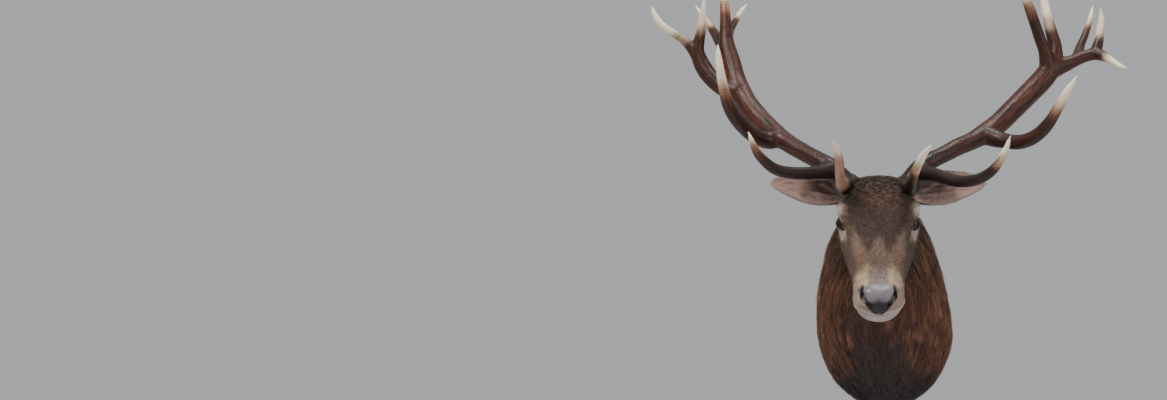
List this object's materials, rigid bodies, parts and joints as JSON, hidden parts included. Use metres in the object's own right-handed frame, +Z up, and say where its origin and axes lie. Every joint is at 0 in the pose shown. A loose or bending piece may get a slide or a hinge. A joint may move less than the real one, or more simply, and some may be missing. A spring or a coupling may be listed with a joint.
{
  "type": "stag head mount",
  "caption": "Life-size shoulder mount of a red deer stag that looks straight ahead from a wall, with spreading many-tined antlers, glass eyes and a maned neck.",
  "frame": {"origin": "on the wall plane, at the middle of the back of the board", "axes": "+Z up, -Y out from the wall along the stag's gaze, +X to the stag's left"},
  "size_m": [1.003, 0.6284, 0.9244],
  "materials": {
    "hide": "coarse chestnut winter coat, darker on the throat and brisket",
    "face": "short grey-brown face hair, dark on the brow",
    "muzzle": "short pale hair",
    "ear": "thin skin with pale inner hairs",
    "nose": "moist black pebbled skin",
    "eye": "dark brown glass eye with a wide pupil",
    "antler": "polished dark brown antler, grooved along its length",
    "tine": "brown antler that turns ochre and then ivory at the tip",
    "board": "plain unpainted board"
  },
  "bodies": {
    "root": {"head": "face", "lower_jaw": "muzzle", "nose_pad": "nose", "neck": "hide", "neck_base": "hide", "ear_left": "ear", "ear_right": "ear", "eye_left": "eye", "eye_right": "eye", "backboard": "board", "antler_left_burr": "antler", "antler_left_beam_lower": "antler", "antler_left_beam_upper": "antler", "antler_left_brow": "tine", "antler_left_bez": "tine", "antler_left_trez": "tine", "antler_left_crown_outer": "tine", "antler_left_crown_side": "tine", "antler_left_crown_back": "tine", "antler_left_crown_inner": "tine", "antler_right_burr": "antler", "antler_right_beam_lower": "antler", "antler_right_beam_upper": "antler", "antler_right_brow": "tine", "antler_right_bez": "tine", "antler_right_trez": "tine", "antler_right_crown_outer": "tine", "antler_right_crown_side": "tine", "antler_right_crown_back": "tine", "antler_right_crown_inner": "tine"}
  },
  "joints": []
}
